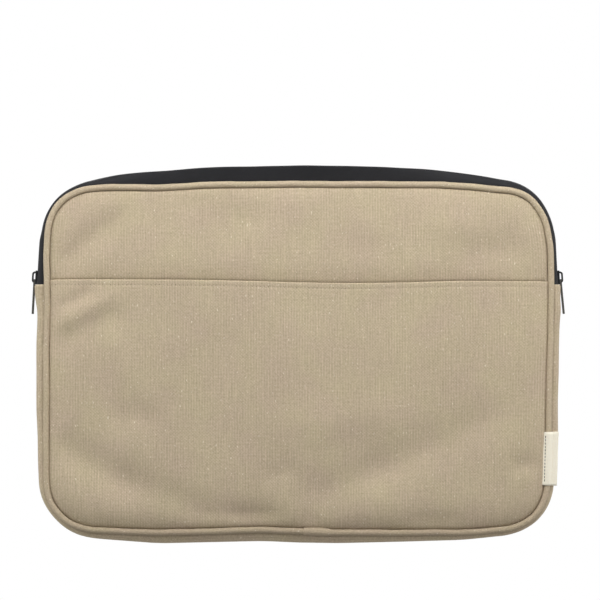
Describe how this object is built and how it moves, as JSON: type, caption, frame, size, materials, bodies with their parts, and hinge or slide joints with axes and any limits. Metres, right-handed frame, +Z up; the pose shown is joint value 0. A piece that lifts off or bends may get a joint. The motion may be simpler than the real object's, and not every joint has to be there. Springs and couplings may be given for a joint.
{
  "type": "laptop sleeve",
  "caption": "Upright canvas laptop sleeve with piped panels, a bowed gusset, a front slip pocket, a side label and a zip that runs over the top with a slider at each end.",
  "frame": {"origin": "middle of the flat face at the bottom of the gusset that the sleeve stands on", "axes": "+Z up from the standing face to the zip, -Y out of the face with the slip pocket, +Y out of the plain back, +X to the right as seen from the pocket side"},
  "size_m": [0.385, 0.0343, 0.2708],
  "materials": {
    "canvas": "matte",
    "piping_canvas": "matte",
    "lining": "matte",
    "binding": "matte",
    "foam": "matte",
    "piping_cord": "matte",
    "zip_tape": "matte",
    "zip_coil": "satin",
    "slider_metal": "satin",
    "pull_metal": "satin",
    "label_cotton": "matte"
  },
  "bodies": {
    "sleeve": {"back_panel": "canvas", "back_foam": "foam", "back_lining": "lining", "back_piping_cover": "piping_canvas", "back_piping_cord": "piping_cord", "back_seam_binding": "binding", "back_zip_tape": "zip_tape", "back_zip_coil": "zip_coil", "gusset_band": "canvas", "gusset_lining": "lining", "front_panel_lower": "canvas", "front_foam_lower": "foam", "front_lining_lower": "lining", "front_piping_cover_lower": "piping_canvas", "front_piping_cord_lower": "piping_cord", "front_seam_binding_lower": "binding", "left_zip_tape_end": "zip_tape", "right_zip_tape_end": "zip_tape", "left_zip_coil_end": "zip_coil", "right_zip_coil_end": "zip_coil", "left_zip_stop": "zip_coil", "right_zip_stop": "zip_coil", "pocket_panel": "canvas", "pocket_hem": "canvas", "label": "label_cotton"},
    "front_flap": {"front_panel_upper": "canvas", "front_foam_upper": "foam", "front_lining_upper": "lining", "front_piping_cover_upper": "piping_canvas", "front_piping_cord_upper": "piping_cord", "front_seam_binding_upper": "binding", "front_zip_tape": "zip_tape", "front_zip_coil": "zip_coil"},
    "left_slider": {"left_slider_body": "slider_metal", "left_slider_crown": "slider_metal"},
    "right_slider": {"right_slider_body": "slider_metal", "right_slider_crown": "slider_metal"},
    "left_pull": {"left_pull": "pull_metal"},
    "right_pull": {"right_pull": "pull_metal"}
  },
  "joints": [
    {"name": "front_fold", "type": "hinge", "parent": "sleeve", "child": "front_flap", "pos_m": [0, -0.014, 0.2], "axis": [-1, 0, 0], "range_deg": [-60, 0], "stiffness_Nm_per_rad": 0.04},
    {"name": "left_slider_run", "type": "slide", "parent": "sleeve", "child": "left_slider", "axis": [0.0571, 0, 0.9984], "range_m": [0, 0.028]},
    {"name": "right_slider_run", "type": "slide", "parent": "sleeve", "child": "right_slider", "axis": [-0.0571, 0, 0.9984], "range_m": [0, 0.028]},
    {"name": "left_pull_swing", "type": "hinge", "parent": "left_slider", "child": "left_pull", "pos_m": [-0.19008, 0, 0.18974], "axis": [0, 1, 0], "range_deg": [0, 160]},
    {"name": "right_pull_swing", "type": "hinge", "parent": "right_slider", "child": "right_pull", "pos_m": [0.19008, 0, 0.18974], "axis": [0, -1, 0], "range_deg": [0, 160]}
  ]
}
